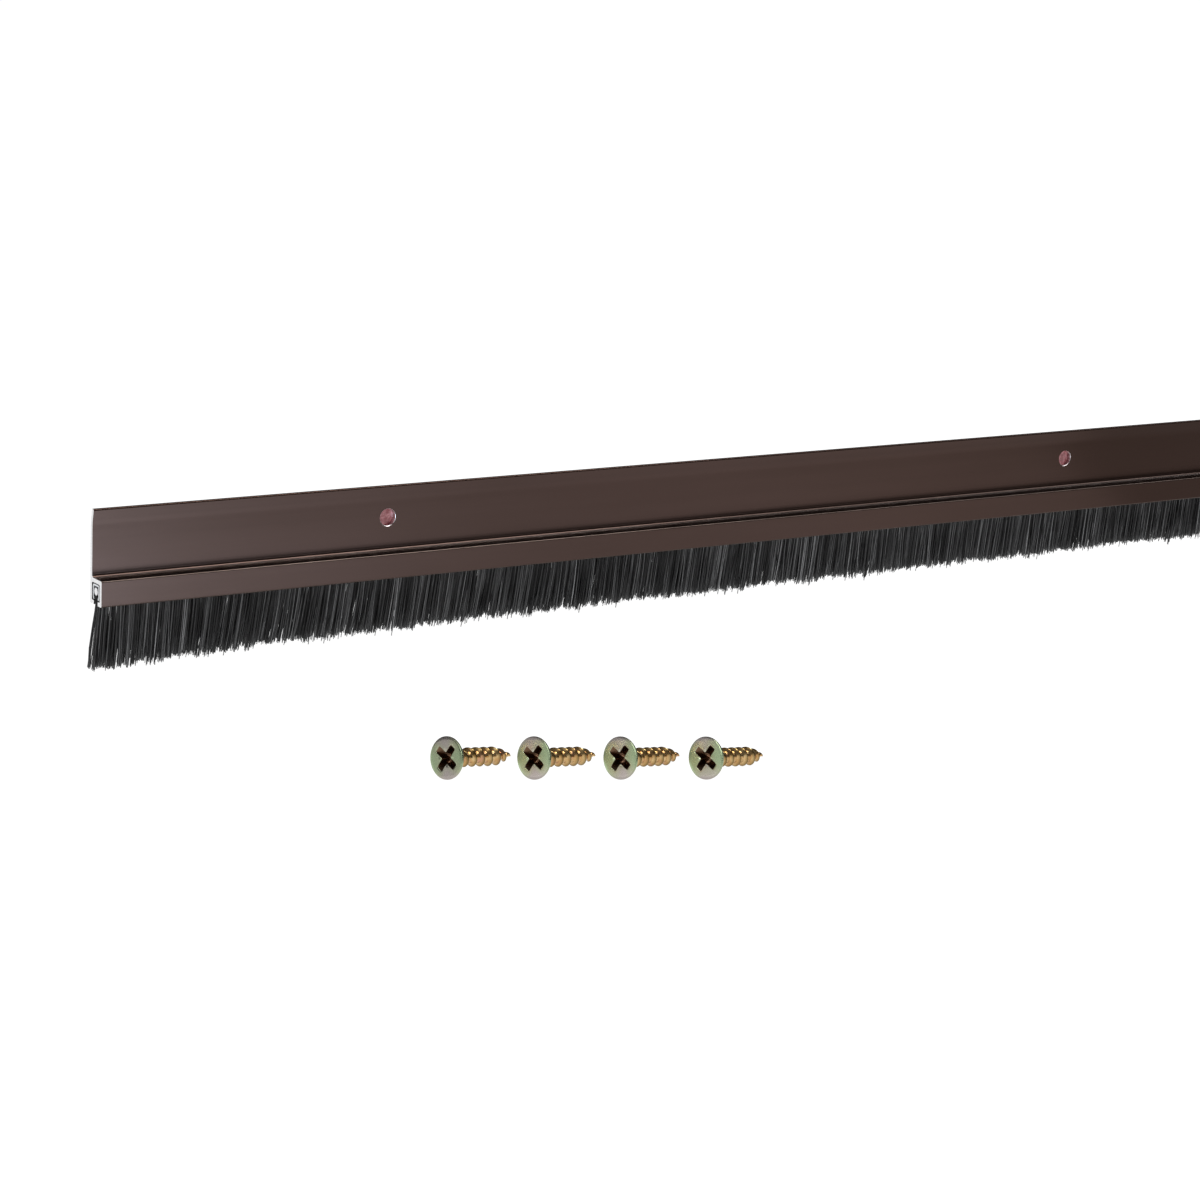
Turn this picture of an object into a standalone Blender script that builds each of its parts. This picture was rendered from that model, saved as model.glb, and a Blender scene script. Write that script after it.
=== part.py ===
"""Brush door sweep: an aluminium carrier, a strip brush in its slot, tape behind it and four loose screws.

Metres, +Z up. X runs along the sweep and the front faces -Y. The origin is the middle of the face that
meets the door, on the line of the screw holes. Cross-sections are drawn as (depth, height): depth forward
from the carrier's back, height up from its underside.
"""

import math
import random

import bmesh
import bpy
from mathutils import Matrix, Vector

# Carrier extrusion
LENGTH = 1.000
WALL = 0.0012
FLANGE_HEIGHT = 0.0195
LIP_HEIGHT = 0.0012
ROOT_FILLET = 0.00085
EDGE_RADIUS = 0.0004
TOP_BEVEL = 0.0005
CURL_DEPTH = 0.0008
CURL_HEIGHT = 0.0040
CURL_RADIUS = 0.010
HOLE_COUNT = 4
HOLE_FROM_END = 0.095
HOLE_CLEARANCE = 0.0004
WALL_SEAM = 0.0001

# Tape behind the flange
TAPE_MARGIN = 0.00375
TAPE_INSET = 0.003
TAPE_THICKNESS = 0.0005
LINER_THICKNESS = 0.00015
FACE_GAP = 0.0001

# Strip brush, from its core wire outwards
WIRE_DIAMETER = 0.0023
FILL_BESIDE_WIRE = 0.0003
FILL_OVER_WIRE = 0.0003
LEG_BELOW_WIRE = 0.0013
NECK_WIDTH = 0.0020
FILL_CLEARANCE = 0.0001
SHEET = 0.0005
RUNNING_CLEARANCE = 0.0003
REAR_SLACK = 0.0003
MOUTH_GAP_REAR = 0.00035
MOUTH_GAP_FRONT = 0.00015
SEGMENT_COUNT = 20
SEGMENT_GAP = 0.0003
STRANDS_PER_ROW = 9
STRAND_WIDTH = 0.0019
STRAND_TAPER = 0.6
TIP_SPLAY = 0.0018
TIP_WANDER = 0.0005
TIP_LEAN = 0.0019
END_SPLAY = 0.0004
END_SPLAY_REACH = 0.02
TRIM_SPREAD = 0.0014

# Free length of the filaments at stations along the strip, as (share of the length, length)
TIP_LINE = (
    (0.00, 0.0186),
    (0.02, 0.0173),
    (0.06, 0.0164),
    (0.12, 0.0157),
    (0.20, 0.0152),
    (0.30, 0.0149),
    (0.40, 0.0142),
    (0.50, 0.0141),
    (0.70, 0.0150),
    (0.90, 0.0158),
    (1.00, 0.0174),
)

# Countersunk screws, loose on the floor in front of the sweep
SCREW_DIAMETER = 0.0050
SCREW_LENGTH = 0.025
HEAD_OVERHANG = 0.0030
HEAD_RIM = 0.0005
POINT_LENGTH = 0.0065
RECESS_MARGIN = 0.0018
RECESS_THICKNESS = 0.0015
RECESS_DEPTH = 0.0026
RECESS_TAPER = 0.45
RECESS_TURN = math.radians(63)
SCREW_STEPS = 20
SCREW_ROW_INSET = 0.0337
SCREW_ROW_FRONT = 0.1382
SCREW_ROW_TURN = math.radians(-25.2)
SCREW_GAP = 0.0111
SCREW_HEADING = math.radians(16.2)

# Sizes that follow from the ones above
CHANNEL_WIDTH = WIRE_DIAMETER + 2 * (FILL_BESIDE_WIRE + FILL_CLEARANCE + SHEET)
CHANNEL_HEIGHT = SHEET + FILL_CLEARANCE + FILL_OVER_WIRE + WIRE_DIAMETER + LEG_BELOW_WIRE
SLOT_WIDTH = CHANNEL_WIDTH + 2 * RUNNING_CLEARANCE + REAR_SLACK
SLOT_HEIGHT = CHANNEL_HEIGHT + 2 * RUNNING_CLEARANCE
SLOT_TOP = LIP_HEIGHT + SLOT_HEIGHT
BOX_HEIGHT = SLOT_TOP + WALL
BOX_DEPTH = SLOT_WIDTH + 2 * WALL
BRUSH_DEPTH = WALL + SLOT_WIDTH - RUNNING_CLEARANCE - CHANNEL_WIDTH / 2
NECK_HALF = NECK_WIDTH / 2
MOUTH_REAR = BRUSH_DEPTH - NECK_HALF - MOUTH_GAP_REAR
MOUTH_FRONT = BRUSH_DEPTH + NECK_HALF + MOUTH_GAP_FRONT
CHANNEL_BASE = LIP_HEIGHT + RUNNING_CLEARANCE
CHANNEL_TOP = CHANNEL_BASE + CHANNEL_HEIGHT
WIRE_HEIGHT = CHANNEL_BASE + LEG_BELOW_WIRE + WIRE_DIAMETER / 2
CRIMP_START = CHANNEL_BASE + LEG_BELOW_WIRE * 0.75
NECK_BASE = LIP_HEIGHT / 3
CARRIER_HEIGHT = BOX_HEIGHT + FLANGE_HEIGHT
BACK_Y = -(LINER_THICKNESS + TAPE_THICKNESS + 2 * FACE_GAP)
BASE_Z = -(BOX_HEIGHT + FLANGE_HEIGHT / 2)
TAPE_WIDTH = FLANGE_HEIGHT - 2 * TAPE_MARGIN
TAPE_LENGTH = LENGTH - 2 * TAPE_INSET
HOLE_DIAMETER = SCREW_DIAMETER + HOLE_CLEARANCE
HEAD_DIAMETER = SCREW_DIAMETER + 2 * HEAD_OVERHANG
HEAD_HEIGHT = HEAD_RIM + HEAD_OVERHANG
RECESS_WIDTH = HEAD_DIAMETER - 2 * RECESS_MARGIN
SCREW_PITCH = HEAD_DIAMETER + SCREW_GAP
LONGEST_TIP = max(length for _, length in TIP_LINE)
FLOOR_Z = BASE_Z - LONGEST_TIP
SEGMENT_LENGTH = (LENGTH - (SEGMENT_COUNT - 1) * SEGMENT_GAP) / SEGMENT_COUNT

# Points nearer than this are one point
MERGE = 1e-7

# Takes (depth, height, length) to the world
PROFILE_FRAME = Matrix(((0, 0, -1, 0), (-1, 0, 0, BACK_Y), (0, 1, 0, BASE_Z), (0, 0, 0, 1)))


def new_collection(name):
    collection = bpy.data.collections.new(name)
    bpy.context.scene.collection.children.link(collection)
    return collection


def new_material(name, colour, metallic, roughness):
    material = bpy.data.materials.new(name)
    material.use_nodes = True
    shader = material.node_tree.nodes["Principled BSDF"]
    shader.inputs["Base Color"].default_value = (*colour, 1.0)
    shader.inputs["Metallic"].default_value = metallic
    shader.inputs["Roughness"].default_value = roughness
    return material


def place(name, data, collection, material=None):
    made = bpy.data.objects.new(name, data)
    collection.objects.link(made)
    if material:
        data.materials.clear()
        data.materials.append(material)
    return made


def rounded(corners, steps=4, closed=True):
    """The outline through (depth, height, radius) corners, each corner replaced by its tangent arc."""
    points = []
    last = len(corners) - 1
    for index, (depth, height, radius) in enumerate(corners):
        corner = Vector((depth, height))
        if radius == 0 or (not closed and index in (0, last)):
            points.append(corner)
            continue
        back = (Vector(corners[index - 1][:2]) - corner).normalized()
        ahead = (Vector(corners[(index + 1) % len(corners)][:2]) - corner).normalized()
        half = math.acos(max(-1.0, min(1.0, back.dot(ahead)))) / 2
        centre = corner + (back + ahead).normalized() * radius / math.sin(half)
        start = corner + back * radius / math.tan(half) - centre
        end = corner + ahead * radius / math.tan(half) - centre
        turn = start.angle_signed(end)
        for step in range(steps + 1):
            points.append(centre + Matrix.Rotation(-turn * step / steps, 2) @ start)
    if not closed:
        return points
    pairs = zip(points, points[-1:] + points[:-1])
    return [point for point, before in pairs if (point - before).length > MERGE]


def circle(depth, height, radius, sides):
    turns = [2 * math.pi * side / sides for side in range(sides)]
    return [Vector((depth + radius * math.cos(turn), height + radius * math.sin(turn))) for turn in turns]


def extruded(name, loops, length, middle, collection, material):
    """A filled outline pushed along X: a 2D curve with its thickness, made a mesh so that it can be cut."""
    curve = bpy.data.curves.new(name + "_outline", "CURVE")
    curve.dimensions = "2D"
    curve.fill_mode = "BOTH"
    curve.extrude = length / 2
    for loop in loops:
        spline = curve.splines.new("POLY")
        spline.points.add(len(loop) - 1)
        spline.use_cyclic_u = True
        for point, place_of in zip(spline.points, loop):
            point.co = (place_of.x, place_of.y, 0.0, 1.0)
    drawn = place(name + "_outline", curve, collection)
    bpy.context.view_layer.update()
    mesh = bpy.data.meshes.new_from_object(drawn.evaluated_get(bpy.context.evaluated_depsgraph_get()))
    bpy.data.objects.remove(drawn)
    weld(mesh)
    made = place(name, mesh, collection, material)
    made.matrix_world = Matrix.Translation((middle, 0, 0)) @ PROFILE_FRAME
    return made


def weld(mesh):
    work = bmesh.new()
    work.from_mesh(mesh)
    bmesh.ops.remove_doubles(work, verts=work.verts, dist=MERGE)
    bmesh.ops.recalc_face_normals(work, faces=work.faces)
    for face in work.faces:
        face.smooth = False
    work.to_mesh(mesh)
    work.free()


def box(name, size, middle, collection, material):
    mesh = bpy.data.meshes.new(name)
    work = bmesh.new()
    bmesh.ops.create_cube(work, size=1.0, matrix=Matrix.Diagonal((*size, 1.0)))
    work.to_mesh(mesh)
    work.free()
    made = place(name, mesh, collection, material)
    made.location = middle
    return made


def cylinder(name, radius, depth, sides, matrix, collection):
    mesh = bpy.data.meshes.new(name)
    work = bmesh.new()
    bmesh.ops.create_cone(work, cap_ends=True, segments=sides, radius1=radius, radius2=radius, depth=depth)
    work.to_mesh(mesh)
    work.free()
    made = place(name, mesh, collection)
    made.matrix_world = matrix
    return made


def boolean(target, other, operation, solver="EXACT"):
    modifier = target.modifiers.new(other.name, "BOOLEAN")
    modifier.operation = operation
    modifier.solver = solver
    modifier.object = other


def hang_on(child, parent):
    child.parent = parent
    child.matrix_parent_inverse = parent.matrix_world.inverted()


def free_length(share):
    """The filament length at a share of the strip, along straight lines between the stations."""
    for (start, first), (end, second) in zip(TIP_LINE, TIP_LINE[1:]):
        if share <= end:
            return first + (second - first) * (share - start) / (end - start)
    return TIP_LINE[-1][1]


def build_carrier(parts, cutters, material):
    """One extrusion in reality. Its walls are solids a hair apart, so that the slot is open between them."""
    rear = WALL + WALL_SEAM
    front = BOX_DEPTH - WALL - WALL_SEAM
    lip_round = EDGE_RADIUS / 2
    bend = CARRIER_HEIGHT - CURL_HEIGHT
    outlines = {
        "carrier_flange": (
            (0, 0, lip_round),
            (WALL, 0, 0),
            (WALL, bend, CURL_RADIUS),
            (WALL + CURL_DEPTH, CARRIER_HEIGHT, min(TOP_BEVEL, WALL * 0.6)),
            (CURL_DEPTH, CARRIER_HEIGHT, min(lip_round, WALL * 0.3)),
            (0, bend, CURL_RADIUS),
        ),
        "carrier_roof": (
            (rear, SLOT_TOP, 0),
            (front, SLOT_TOP, 0),
            (front, BOX_HEIGHT, 0),
            (rear, BOX_HEIGHT, ROOT_FILLET),
            (rear, BOX_HEIGHT + ROOT_FILLET, 0),
        ),
        "carrier_front_wall": (
            (BOX_DEPTH - WALL, 0, 0),
            (BOX_DEPTH, 0, EDGE_RADIUS),
            (BOX_DEPTH, BOX_HEIGHT, EDGE_RADIUS),
            (BOX_DEPTH - WALL, BOX_HEIGHT, 0),
        ),
        "carrier_rear_lip": (
            (rear, 0, 0),
            (MOUTH_REAR, 0, lip_round),
            (MOUTH_REAR, LIP_HEIGHT, lip_round),
            (rear, LIP_HEIGHT, 0),
        ),
        "carrier_front_lip": (
            (MOUTH_FRONT, 0, lip_round),
            (front, 0, 0),
            (front, LIP_HEIGHT, 0),
            (MOUTH_FRONT, LIP_HEIGHT, lip_round),
        ),
    }
    walls = {
        name: extruded(name, [rounded(corners)], LENGTH, 0, parts, material)
        for name, corners in outlines.items()
    }
    step = (LENGTH - 2 * HOLE_FROM_END) / (HOLE_COUNT - 1)
    for index in range(HOLE_COUNT):
        along = -LENGTH / 2 + HOLE_FROM_END + step * index
        stance = Matrix.Translation((along, BACK_Y - WALL / 2, 0)) @ Matrix.Rotation(math.pi / 2, 4, "X")
        drill = cylinder(f"drill_{index + 1}", HOLE_DIAMETER / 2, 3 * WALL, 32, stance, cutters)
        boolean(walls["carrier_flange"], drill, "DIFFERENCE", "MANIFOLD")


def build_tape(parts, tape, liner):
    liner_y = -LINER_THICKNESS / 2
    tape_y = -LINER_THICKNESS - FACE_GAP - TAPE_THICKNESS / 2
    box("release_liner", (TAPE_LENGTH, LINER_THICKNESS, TAPE_WIDTH), (0, liner_y, 0), parts, liner)
    box("adhesive_tape", (TAPE_LENGTH, TAPE_THICKNESS, TAPE_WIDTH), (0, tape_y, 0), parts, tape)


def build_channel(parts, material, joint):
    """The folded steel strip: its middle line drawn as edges, pushed along X and thickened."""
    side = CHANNEL_WIDTH / 2 - SHEET / 2
    pinch = NECK_HALF + FILL_CLEARANCE + SHEET / 2
    top = CHANNEL_TOP - SHEET / 2
    path = rounded((
        (BRUSH_DEPTH - pinch, CHANNEL_BASE + SHEET / 4, 0),
        (BRUSH_DEPTH - side, CRIMP_START, 2 * SHEET),
        (BRUSH_DEPTH - side, top, SHEET),
        (BRUSH_DEPTH + side, top, SHEET),
        (BRUSH_DEPTH + side, CRIMP_START, 2 * SHEET),
        (BRUSH_DEPTH + pinch, CHANNEL_BASE + SHEET / 4, 0),
    ), closed=False)
    mesh = bpy.data.meshes.new("brush_channel")
    work = bmesh.new()
    points = [work.verts.new((point.x, point.y, -LENGTH / 2)) for point in path]
    edges = [work.edges.new(pair) for pair in zip(points, points[1:])]
    pushed = bmesh.ops.extrude_edge_only(work, edges=edges)["geom"]
    fresh = [item for item in pushed if isinstance(item, bmesh.types.BMVert)]
    bmesh.ops.translate(work, verts=fresh, vec=(0, 0, LENGTH))
    work.to_mesh(mesh)
    work.free()
    channel = place("brush_channel", mesh, parts, material)
    channel.matrix_world = PROFILE_FRAME
    folded = channel.modifiers.new("sheet", "SOLIDIFY")
    folded.thickness = SHEET
    folded.offset = 0
    folded.use_even_offset = True
    hang_on(channel, joint)


def build_wire(parts, material, joint):
    curve = bpy.data.curves.new("core_wire", "CURVE")
    curve.dimensions = "3D"
    curve.bevel_depth = WIRE_DIAMETER / 2
    curve.bevel_resolution = 2
    curve.use_fill_caps = True
    spline = curve.splines.new("POLY")
    spline.points.add(1)
    for point, along in zip(spline.points, (-LENGTH / 2, LENGTH / 2)):
        point.co = (along, 0, 0, 1)
    wire = place("core_wire", curve, parts, material)
    wire.location = (0, BACK_Y - BRUSH_DEPTH, BASE_Z + WIRE_HEIGHT)
    hang_on(wire, joint)


def build_strands(name, left, chance, cutters):
    """Two staggered rows of tapered four-sided strands, each a cone of four sides sheared to its lean."""
    mesh = bpy.data.meshes.new(name)
    work = bmesh.new()
    pitch = SEGMENT_LENGTH / STRANDS_PER_ROW
    thickness = NECK_HALF * 0.8
    bury = (CHANNEL_BASE - NECK_BASE) / 2
    for row, away in ((0, -1), (1, 1)):
        for index in range(STRANDS_PER_ROW):
            along = left + pitch * (index + 0.28 + 0.44 * row)
            share = (along + LENGTH / 2) / LENGTH
            drop = NECK_BASE + free_length(share) - TRIM_SPREAD * chance.random()
            length = drop + bury
            near_left = max(0.0, 1 - share * LENGTH / END_SPLAY_REACH)
            near_right = max(0.0, 1 - (1 - share) * LENGTH / END_SPLAY_REACH)
            lean_x = END_SPLAY * (near_right - near_left) - TIP_LEAN + TIP_WANDER * chance.uniform(-1, 1)
            lean_y = away * TIP_SPLAY * chance.uniform(0.5, 1.0)
            shear = Matrix.Identity(4)
            shear[0][2] = -lean_x / length
            shear[1][2] = lean_y / length
            across = BACK_Y - BRUSH_DEPTH - away * NECK_HALF * 0.5
            stance = (
                Matrix.Translation((along, across, BASE_Z + NECK_BASE + bury))
                @ shear
                @ Matrix.Translation((0, 0, -length / 2))
                @ Matrix.Diagonal((STRAND_WIDTH, thickness, 1, 1))
                @ Matrix.Rotation(math.pi / 4, 4, "Z")
            )
            root = math.sqrt(0.5)
            bmesh.ops.create_cone(
                work,
                cap_ends=True,
                segments=4,
                radius1=root * STRAND_TAPER,
                radius2=root,
                depth=length,
                matrix=stance,
            )
    work.to_mesh(mesh)
    work.free()
    return place(name, mesh, cutters)


def build_bristles(parts, cutters, material, joint):
    """Each segment: the folded roots around the core wire, an outline with a hole, joined to its strands."""
    inside = CHANNEL_WIDTH / 2 - SHEET - FILL_CLEARANCE
    top = CHANNEL_TOP - SHEET - FILL_CLEARANCE
    shoulder = CRIMP_START + SHEET
    roots = rounded((
        (BRUSH_DEPTH - NECK_HALF, NECK_BASE, 0),
        (BRUSH_DEPTH + NECK_HALF, NECK_BASE, 0),
        (BRUSH_DEPTH + NECK_HALF, CHANNEL_BASE + SHEET, 0),
        (BRUSH_DEPTH + inside, shoulder, 0),
        (BRUSH_DEPTH + inside, top, FILL_OVER_WIRE),
        (BRUSH_DEPTH - inside, top, FILL_OVER_WIRE),
        (BRUSH_DEPTH - inside, shoulder, 0),
        (BRUSH_DEPTH - NECK_HALF, CHANNEL_BASE + SHEET, 0),
    ), steps=2)
    sides = 12
    bore = (WIRE_DIAMETER / 2 + FILL_CLEARANCE / 2) / math.cos(math.pi / sides)
    hole = circle(BRUSH_DEPTH, WIRE_HEIGHT, bore, sides)
    chance = random.Random(7)
    for index in range(SEGMENT_COUNT):
        left = -LENGTH / 2 + index * (SEGMENT_LENGTH + SEGMENT_GAP)
        middle = left + SEGMENT_LENGTH / 2
        number = f"{index + 1:02d}"
        segment = extruded("bristles_" + number, [roots, hole], SEGMENT_LENGTH, middle, parts, material)
        strands = build_strands("strands_" + number, left, chance, cutters)
        boolean(segment, strands, "UNION")
        hang_on(segment, joint)
        hang_on(strands, joint)


def build_screws(parts, cutters, material):
    """One screw turned from its profile with a cross recess, then laid out four times."""
    head = HEAD_DIAMETER / 2
    shank = SCREW_DIAMETER / 2
    full = SCREW_LENGTH - POINT_LENGTH
    profile = (
        (0, 0),
        (head - HEAD_RIM / 2, 0),
        (head, -HEAD_RIM / 2),
        (head, -HEAD_RIM),
        (shank, -HEAD_HEIGHT),
        (shank, -full),
        (shank * 0.72, -full - POINT_LENGTH * 0.45),
        (shank * 0.1, -SCREW_LENGTH),
        (0, -SCREW_LENGTH),
    )
    mesh = bpy.data.meshes.new("screw_profile")
    work = bmesh.new()
    points = [work.verts.new((radius, 0, height)) for radius, height in profile]
    for pair in zip(points, points[1:]):
        work.edges.new(pair)
    work.to_mesh(mesh)
    work.free()
    turned = place("screw_blank", mesh, cutters)
    spin = turned.modifiers.new("turn", "SCREW")
    spin.steps = SCREW_STEPS
    spin.render_steps = SCREW_STEPS
    spin.use_merge_vertices = True
    spin.merge_threshold = 1e-6
    for number, turn in ((1, 0.0), (2, math.pi / 2)):
        blade_mesh = bpy.data.meshes.new(f"recess_blade_{number}")
        mouth = 2 - RECESS_TAPER
        square_on = Matrix.Rotation(math.pi / 4, 4, "Z")
        work = bmesh.new()
        bmesh.ops.create_cone(
            work,
            cap_ends=True,
            segments=4,
            radius1=math.sqrt(0.5) * RECESS_TAPER,
            radius2=math.sqrt(0.5) * mouth,
            depth=2 * RECESS_DEPTH,
            matrix=Matrix.Diagonal((RECESS_WIDTH, RECESS_THICKNESS, 1, 1)) @ square_on,
        )
        work.to_mesh(blade_mesh)
        work.free()
        blade = place(f"recess_blade_{number}", blade_mesh, cutters)
        blade.rotation_euler = (0, 0, turn + RECESS_TURN)
        boolean(turned, blade, "DIFFERENCE")
    bpy.context.view_layer.update()
    screw = bpy.data.meshes.new_from_object(turned.evaluated_get(bpy.context.evaluated_depsgraph_get()))
    screw.name = "screw"
    bpy.data.objects.remove(turned)
    tilt = math.atan((head - shank) / (full - HEAD_RIM))
    height = HEAD_RIM * math.sin(tilt) + head * math.cos(tilt)
    pointing = Vector((
        math.cos(tilt) * math.cos(SCREW_HEADING),
        math.cos(tilt) * math.sin(SCREW_HEADING),
        -math.sin(tilt),
    ))
    for index in range(HOLE_COUNT):
        laid = place(f"screw_{index + 1}", screw, parts, material)
        laid.rotation_mode = "QUATERNION"
        laid.rotation_quaternion = pointing.to_track_quat("-Z", "Y")
        laid.location = (
            -LENGTH / 2 + SCREW_ROW_INSET + SCREW_PITCH * index * math.cos(SCREW_ROW_TURN),
            -SCREW_ROW_FRONT + SCREW_PITCH * index * math.sin(SCREW_ROW_TURN),
            FLOOR_Z + height,
        )


def main():
    for old in list(bpy.data.objects):
        bpy.data.objects.remove(old)
    parts = new_collection("brush_door_sweep")
    cutters = new_collection("cutters")
    anodised = new_material("brown_anodised_aluminium", (0.075, 0.047, 0.036), 0.6, 0.4)
    tape = new_material("clear_acrylic_tape", (0.62, 0.30, 0.31), 0.0, 0.4)
    liner = new_material("red_release_film", (0.45, 0.03, 0.03), 0.0, 0.35)
    zinc = new_material("galvanised_steel", (0.62, 0.63, 0.64), 0.9, 0.4)
    wire = new_material("steel_wire", (0.5, 0.5, 0.5), 0.9, 0.35)
    filament = new_material("black_nylon_filament", (0.02, 0.02, 0.022), 0.0, 0.45)
    gold = new_material("yellow_zinc_steel", (0.64, 0.42, 0.15), 0.9, 0.3)
    joint = bpy.data.objects.new("brush_slide", None)
    joint.empty_display_size = 0.02
    joint.location = (0, BACK_Y - BRUSH_DEPTH, BASE_Z + CHANNEL_BASE)
    parts.objects.link(joint)
    bpy.context.view_layer.update()
    build_carrier(parts, cutters, anodised)
    build_tape(parts, tape, liner)
    build_channel(parts, zinc, joint)
    build_wire(parts, wire, joint)
    build_bristles(parts, cutters, filament, joint)
    build_screws(parts, cutters, gold)
    for helper in cutters.objects:
        helper.hide_render = True
        helper.display_type = "WIRE"
    bpy.context.view_layer.update()


main()
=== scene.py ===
import math

import bmesh
import bpy
import numpy as np
from mathutils import Matrix, Vector


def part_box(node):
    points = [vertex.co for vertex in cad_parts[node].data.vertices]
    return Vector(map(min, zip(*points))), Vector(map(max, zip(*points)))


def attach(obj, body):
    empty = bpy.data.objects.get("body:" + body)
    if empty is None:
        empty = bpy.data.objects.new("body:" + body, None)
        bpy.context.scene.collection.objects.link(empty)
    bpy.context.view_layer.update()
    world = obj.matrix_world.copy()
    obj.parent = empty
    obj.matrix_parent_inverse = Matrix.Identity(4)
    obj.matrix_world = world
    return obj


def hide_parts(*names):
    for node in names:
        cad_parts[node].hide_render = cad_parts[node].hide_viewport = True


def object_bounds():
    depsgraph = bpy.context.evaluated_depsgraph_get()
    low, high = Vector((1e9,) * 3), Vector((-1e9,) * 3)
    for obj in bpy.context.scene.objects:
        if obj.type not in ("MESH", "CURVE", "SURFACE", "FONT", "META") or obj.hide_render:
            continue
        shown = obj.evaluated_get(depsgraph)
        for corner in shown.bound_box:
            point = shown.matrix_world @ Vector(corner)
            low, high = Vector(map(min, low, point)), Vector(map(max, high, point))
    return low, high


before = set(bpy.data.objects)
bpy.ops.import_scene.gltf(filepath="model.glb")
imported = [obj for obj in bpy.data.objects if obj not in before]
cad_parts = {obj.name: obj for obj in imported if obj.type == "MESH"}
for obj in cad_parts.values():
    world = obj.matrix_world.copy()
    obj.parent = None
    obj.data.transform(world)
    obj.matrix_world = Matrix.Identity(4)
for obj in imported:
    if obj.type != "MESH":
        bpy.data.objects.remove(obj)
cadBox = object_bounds()
mm = 0.001
floorLevel = cadBox[0][2]
print("frame loaded:", len(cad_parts), "nodes, floor at", round(floorLevel / mm, 2), "mm")


def quadGrid(rows, columns, wrap=True):
    # quads of a row by row grid, each between two rows and two columns; wrap closes each row on itself
    row = np.arange(rows - 1)[:, None] * columns
    column = np.arange(columns if wrap else columns - 1)[None, :]
    after = (column + 1) % columns
    corners = (row + column, row + after, row + columns + after, row + columns + column)
    return np.stack(corners, axis=-1).reshape(-1, 4)


def stripQuads(rings):
    # quads between neighbouring rows of a table of vertex numbers, each row closed on itself
    ahead = np.roll(rings, -1, axis=1)
    return np.stack((rings[:-1], ahead[:-1], ahead[1:], rings[1:]), axis=-1).reshape(-1, 4)


def fillMesh(name, points, faceBlocks, faceSlots=None, values=None):
    # each block of faces is a table with one row per face; values are named numbers, one per point
    mesh = bpy.data.meshes.new(name)
    sizes = np.concatenate([np.full(len(block), block.shape[1]) for block in faceBlocks])
    loops = np.concatenate([block.ravel() for block in faceBlocks])
    mesh.vertices.add(len(points))
    mesh.vertices.foreach_set("co", np.ascontiguousarray(points, dtype=np.float32).ravel())
    mesh.loops.add(len(loops))
    mesh.loops.foreach_set("vertex_index", loops.astype(np.int32))
    mesh.polygons.add(len(sizes))
    mesh.polygons.foreach_set("loop_start", (np.cumsum(sizes) - sizes).astype(np.int32))
    if faceSlots is not None:
        mesh.polygons.foreach_set("material_index", faceSlots.astype(np.int32))
    mesh.update(calc_edges=True)
    for label, numbers in (values or {}).items():
        layer = mesh.attributes.new(label, "FLOAT", "POINT")
        layer.data.foreach_set("value", np.ascontiguousarray(numbers, dtype=np.float32))
    return mesh


def closeMesh(mesh, reach=0.0):
    # points nearer than reach become one, and every face turns outward
    work = bmesh.new()
    work.from_mesh(mesh)
    if reach:
        bmesh.ops.remove_doubles(work, verts=work.verts, dist=reach)
    bmesh.ops.recalc_face_normals(work, faces=work.faces)
    work.to_mesh(mesh)
    work.free()


def addPiece(mesh, body, nodes, finishes, crease):
    # a finished piece: smooth, with edges sharper than crease kept crisp
    piece = bpy.data.objects.new(mesh.name, mesh)
    bpy.context.scene.collection.objects.link(piece)
    for finish in finishes:
        mesh.materials.append(finish)
    mesh.shade_smooth()
    mesh.set_sharp_from_angle(angle=math.radians(crease))
    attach(piece, body)
    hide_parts(*nodes)
    return piece


def makeNode(tree, kind, sockets=None, **options):
    # one shader node: options are its own settings, sockets its inputs, as numbers or other nodes' outputs
    node = tree.nodes.new("ShaderNode" + kind)
    for option, value in options.items():
        setattr(node, option, value)
    for socket, value in (sockets or {}).items():
        if isinstance(value, bpy.types.NodeSocket):
            tree.links.new(value, node.inputs[socket])
        else:
            node.inputs[socket].default_value = value
    return node


def startFinish(name, sockets):
    # a principled finish with its even numbers set on the shader itself
    finish = bpy.data.materials.new(name)
    finish.use_nodes = True
    tree = finish.node_tree
    shader = tree.nodes["Principled BSDF"]
    for socket, value in sockets.items():
        shader.inputs[socket].default_value = value
    return finish, tree, shader


def objectNoise(tree, cells, detail, roughness=0.5):
    # noise on the piece's own metres, with so many cells to a metre on each axis
    place = makeNode(tree, "TexCoord").outputs["Object"]
    spread = makeNode(tree, "Mapping", {"Vector": place, "Scale": cells}).outputs["Vector"]
    sockets = {"Vector": spread, "Scale": 1.0, "Detail": detail, "Roughness": roughness}
    return makeNode(tree, "TexNoise", sockets).outputs["Fac"]


def ownValue(tree, label):
    # one of the named numbers that the piece's mesh carries
    return makeNode(tree, "Attribute", attribute_name=label).outputs["Fac"]


def combine(tree, operation, first, second):
    # two factors added or multiplied
    return makeNode(tree, "Math", {0: first, 1: second}, operation=operation).outputs[0]


def ramp(tree, factor, places, colours):
    # colours set at places along a factor; stops added for them start in the middle
    node = makeNode(tree, "ValToRGB", {"Fac": factor})
    stops = node.color_ramp.elements
    while len(stops) < len(places):
        stops.new(0.5)
    for stop, place, colour in zip(stops, places, colours):
        stop.position = place
        stop.color = (*colour, 1.0)
    return node.outputs["Color"]


def between(tree, factor, low, high, fromLow=0.3, fromHigh=0.7):
    # a number from low to high as the factor goes from fromLow to fromHigh
    sockets = {"Value": factor, "From Min": fromLow, "From Max": fromHigh, "To Min": low, "To Max": high}
    return makeNode(tree, "MapRange", sockets).outputs["Result"]


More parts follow.
